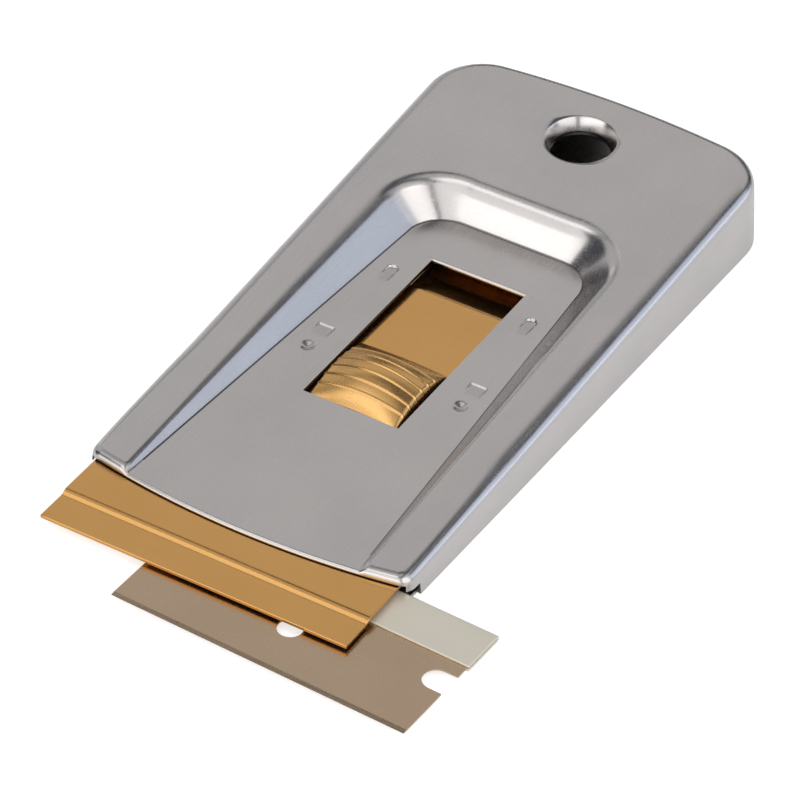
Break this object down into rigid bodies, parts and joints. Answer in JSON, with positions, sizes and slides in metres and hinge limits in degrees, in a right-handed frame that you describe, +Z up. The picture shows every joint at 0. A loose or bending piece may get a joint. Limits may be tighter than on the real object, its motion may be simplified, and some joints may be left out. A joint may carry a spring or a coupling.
{
  "type": "razor blade scraper",
  "caption": "Flat wedge-shaped metal scraper that holds a single-edge razor blade under a sliding carrier moved by a ridged thumb button, with a hanging hole at the rear.",
  "frame": {"origin": "middle of the housing's length, on the middle plane, on the underside of the base", "axes": "+Y from the blade to the hanging hole, +Z up away from the base, +X to the right"},
  "size_m": [0.0573, 0.1078, 0.0098],
  "materials": {
    "cover_steel": "satin plated, pressed sheet",
    "base_steel": "satin plated sheet",
    "plated_carrier": "yellow plated, bright",
    "plated_button": "yellow plated, bright",
    "spring_steel": "oiled blue-grey",
    "rivet_steel": "yellow plated",
    "blade_steel": "ground and oiled",
    "blade_spine": "matte rolled strip"
  },
  "bodies": {
    "housing": {"top_shell": "cover_steel", "bottom_plate": "base_steel"},
    "carrier": {"blade_carrier": "plated_carrier", "thumb_button": "plated_button", "carrier_spring": "spring_steel", "spring_rivets": "rivet_steel"},
    "blade": {"blade_plate": "blade_steel", "blade_spine": "blade_spine"}
  },
  "joints": [
    {"name": "carrier_slide", "type": "slide", "parent": "housing", "child": "carrier", "axis": [0, 1, 0], "range_m": [0, 0.0176]},
    {"name": "blade_insert", "type": "slide", "parent": "housing", "child": "blade", "axis": [1, 0, 0], "range_m": [-0.013, 0.0285]}
  ]
}
